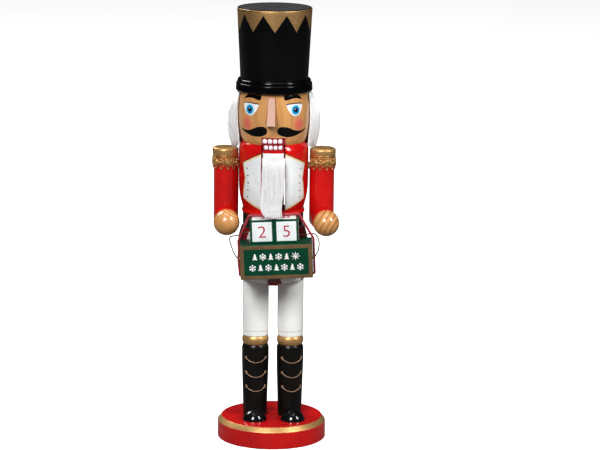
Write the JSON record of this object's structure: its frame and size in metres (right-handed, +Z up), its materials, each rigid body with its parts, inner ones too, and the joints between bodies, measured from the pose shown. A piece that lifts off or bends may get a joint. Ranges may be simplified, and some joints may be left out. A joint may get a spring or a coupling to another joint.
{
  "type": "nutcracker figure",
  "caption": "Standing wooden nutcracker soldier with a lever-worked jaw, tall hat, fur hair and beard, carrying a day-counting calendar of sliding number blocks.",
  "frame": {"origin": "centre of the base's underside", "axes": "+Z up, the figure faces -Y, +X on the right of somebody facing it"},
  "size_m": [0.1105, 0.1045, 0.381],
  "materials": {
    "red_paint": "gloss lacquer over turned wood",
    "coat_paint": "gloss lacquer over turned wood",
    "black_paint": "gloss lacquer over turned wood",
    "gold_paint": "metallic gold paint over turned wood",
    "white_paint": "satin paint over turned wood",
    "natural_wood": "clear varnish over pine",
    "dowel_wood": "bare birch dowel",
    "green_paint": "satin paint over wood",
    "white_fur": "long-pile artificial fur",
    "gold_braid": "looped metallic gimp",
    "red_elastic": "covered elastic cord",
    "gold_cord": "twisted metallic cord",
    "brass": "bright",
    "steel": "plain"
  },
  "bodies": {
    "figure": {"base_plate": "red_paint", "calendar_block": "green_paint", "calendar_dowel": "dowel_wood", "chest": "red_paint", "cord_nails": "brass", "hair": "white_fur", "hanging_cord": "gold_cord", "hat": "black_paint", "hat_dowel": "dowel_wood", "head": "natural_wood", "hips": "coat_paint", "jaw_pin": "steel", "left_boot": "black_paint", "left_boot_cuff": "gold_paint", "left_forearm": "red_paint", "left_hand": "natural_wood", "left_leg": "white_paint", "left_shoulder_braid": "gold_braid", "left_shoulder_cap": "gold_paint", "left_shoulder_dowel": "dowel_wood", "left_toe_cap": "black_paint", "left_upper_arm": "red_paint", "left_wrist_dowel": "dowel_wood", "leg_dowels": "dowel_wood", "leg_screws": "steel", "neck_dowels": "dowel_wood", "nose": "natural_wood", "red_band": "red_elastic", "right_boot": "black_paint", "right_boot_cuff": "gold_paint", "right_forearm": "red_paint", "right_hand": "natural_wood", "right_leg": "white_paint", "right_shoulder_braid": "gold_braid", "right_shoulder_cap": "gold_paint", "right_shoulder_dowel": "dowel_wood", "right_toe_cap": "black_paint", "right_upper_arm": "red_paint", "right_wrist_dowel": "dowel_wood", "upper_teeth": "natural_wood", "waist_dowels": "dowel_wood"},
    "jaw": {"jaw_lever": "red_paint", "beard": "white_fur"},
    "tens_block": {"tens_block": "green_paint"},
    "units_block": {"units_block": "green_paint"}
  },
  "joints": [
    {"name": "jaw_hinge", "type": "hinge", "parent": "figure", "child": "jaw", "pos_m": [0, -0.008, 0.236], "axis": [1, 0, 0], "range_deg": [0, 24], "deforming": ["beard"]},
    {"name": "tens_slide", "type": "slide", "parent": "figure", "child": "tens_block", "axis": [0, -1, 0], "range_m": [0, 0.0075]},
    {"name": "units_slide", "type": "slide", "parent": "figure", "child": "units_block", "axis": [0, -1, 0], "range_m": [0, 0.0075]}
  ]
}
